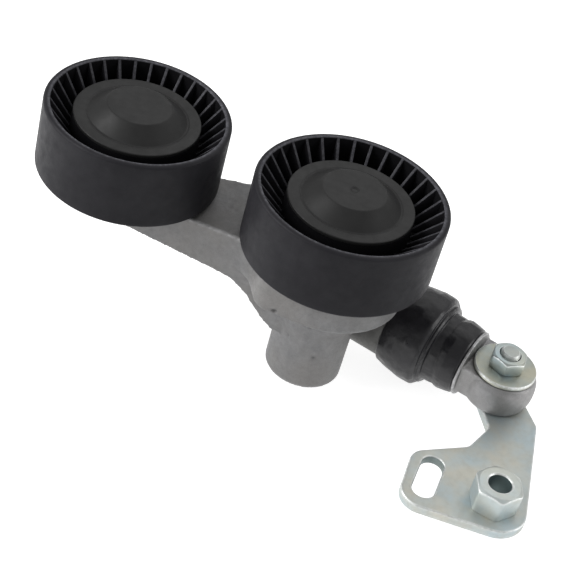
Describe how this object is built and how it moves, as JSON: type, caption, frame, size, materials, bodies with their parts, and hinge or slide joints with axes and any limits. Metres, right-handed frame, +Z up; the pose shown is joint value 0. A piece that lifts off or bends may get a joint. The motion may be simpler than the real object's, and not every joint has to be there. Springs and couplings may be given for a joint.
{
  "type": "belt tensioner idler",
  "caption": "Belt tensioner with two ribbed idler pulleys on a cast pivoting arm, pushed by a booted strut whose rod end is bolted to a slotted bracket plate.",
  "frame": {"origin": "pivot axis at the sleeve's mounting face", "axes": "+Z up along the pivot and pulley axes, -X towards the arm's pulley, +X towards the bracket"},
  "size_m": [0.2247, 0.1108, 0.0908],
  "materials": {
    "wheel_plastic": "moulded glass-filled nylon, fine grain",
    "cap_plastic": "moulded nylon, satin",
    "cage_plastic": "natural nylon",
    "seal_rubber": "matt",
    "boot_rubber": "matt with slight sheen",
    "bush_rubber": "matt",
    "bearing_steel": "ground and polished",
    "arm_cast": "as cast, shot blasted",
    "rod_end_cast": "as cast, shot blasted",
    "housing_metal": "dark grey coated",
    "zinc_plate": "zinc plated, clear passivated",
    "zinc_hardware": "zinc plated, clear passivated",
    "bolt_steel": "zinc plated",
    "bush_bronze": "sintered bronze",
    "spring_steel": "shot peened",
    "machined_steel": "turned"
  },
  "bodies": {
    "pivot": {"pivot_sleeve": "machined_steel", "thrust_washer": "machined_steel", "pulley_2_bolt": "bolt_steel", "pulley_2_bearing_inner": "bearing_steel"},
    "arm": {"arm_casting": "arm_cast", "pivot_bush_upper": "bush_bronze", "pivot_bush_lower": "bush_bronze", "pivot_seal": "seal_rubber", "pulley_1_spacer": "machined_steel", "pulley_1_bolt": "bolt_steel", "pulley_1_bearing_inner": "bearing_steel", "rear_bolt": "bolt_steel", "rear_washer": "bolt_steel", "rear_spacer": "machined_steel"},
    "pulley_1": {"pulley_1_wheel": "wheel_plastic", "pulley_1_dust_cap": "cap_plastic", "pulley_1_bearing_outer": "bearing_steel", "pulley_1_seal_upper": "seal_rubber", "pulley_1_seal_lower": "seal_rubber"},
    "pulley_1_cage": {"pulley_1_bearing_balls": "bearing_steel", "pulley_1_bearing_cage": "cage_plastic"},
    "pulley_2": {"pulley_2_wheel": "wheel_plastic", "pulley_2_dust_cap": "cap_plastic", "pulley_2_bearing_outer": "bearing_steel", "pulley_2_seal_upper": "seal_rubber", "pulley_2_seal_lower": "seal_rubber"},
    "pulley_2_cage": {"pulley_2_bearing_balls": "bearing_steel", "pulley_2_bearing_cage": "cage_plastic"},
    "strut_housing": {"strut_housing": "housing_metal", "rear_bush": "bush_bronze", "pressure_cylinder": "machined_steel", "check_valve_seat": "machined_steel", "check_ball": "bearing_steel", "check_valve_retainer": "machined_steel", "rod_guide": "machined_steel", "rod_seal": "seal_rubber", "boot_outer": "boot_rubber", "main_spring": "spring_steel"},
    "rod": {"piston": "machined_steel", "piston_rod": "machined_steel", "rod_end": "rod_end_cast", "eye_rubber_bush": "bush_rubber", "boot_inner": "boot_rubber"},
    "bracket": {"bracket_plate": "zinc_plate", "hex_standoff": "zinc_hardware", "eye_sleeve": "zinc_hardware", "eye_stud": "zinc_hardware", "eye_washer": "zinc_hardware", "eye_nut": "zinc_hardware"}
  },
  "joints": [
    {"name": "arm_swing", "type": "hinge", "parent": "pivot", "child": "arm", "pos_m": [0, 0, 0.04], "axis": [0, 0, 1], "range_deg": [-18, 0], "stiffness_Nm_per_rad": 14, "springref_deg": 20.05},
    {"name": "pulley_1_spin", "type": "hinge", "parent": "arm", "child": "pulley_1", "pos_m": [-0.0864, 0, 0.0723], "axis": [0, 0, 1], "continuous": true},
    {"name": "pulley_1_cage_orbit", "type": "hinge", "parent": "arm", "child": "pulley_1_cage", "pos_m": [-0.0864, 0, 0.0723], "axis": [0, 0, 1], "continuous": true},
    {"name": "pulley_2_spin", "type": "hinge", "parent": "pivot", "child": "pulley_2", "pos_m": [0, 0, 0.0723], "axis": [0, 0, 1], "continuous": true},
    {"name": "pulley_2_cage_orbit", "type": "hinge", "parent": "pivot", "child": "pulley_2_cage", "pos_m": [0, 0, 0.0723], "axis": [0, 0, 1], "continuous": true},
    {"name": "strut_pivot", "type": "hinge", "parent": "arm", "child": "strut_housing", "pos_m": [-0.02703, 0.03968, 0.0168], "axis": [0, 0, 1], "range_deg": [0, 12.52]},
    {"name": "rod_slide", "type": "slide", "parent": "strut_housing", "child": "rod", "axis": [0.9736, -0.2284, 0], "range_m": [-0.01152, 0], "deforming": ["main_spring"]},
    {"name": "bracket_pivot", "type": "hinge", "parent": "rod", "child": "bracket", "pos_m": [0.0752, 0.0157, 0.0168], "axis": [0, 0, 1], "range_deg": [0, 5.84]}
  ],
  "couplings": [
    {"joint": "pulley_1_cage_orbit", "follows": "pulley_1_spin", "ratio": 0.6158},
    {"joint": "pulley_2_cage_orbit", "follows": "pulley_2_spin", "ratio": 0.6158},
    {"joint": "strut_pivot", "follows": "arm_swing", "ratio": -0.68213},
    {"joint": "rod_slide", "follows": "arm_swing", "m_per_rad": 0.035951},
    {"joint": "bracket_pivot", "follows": "arm_swing", "ratio": -0.31787}
  ]
}
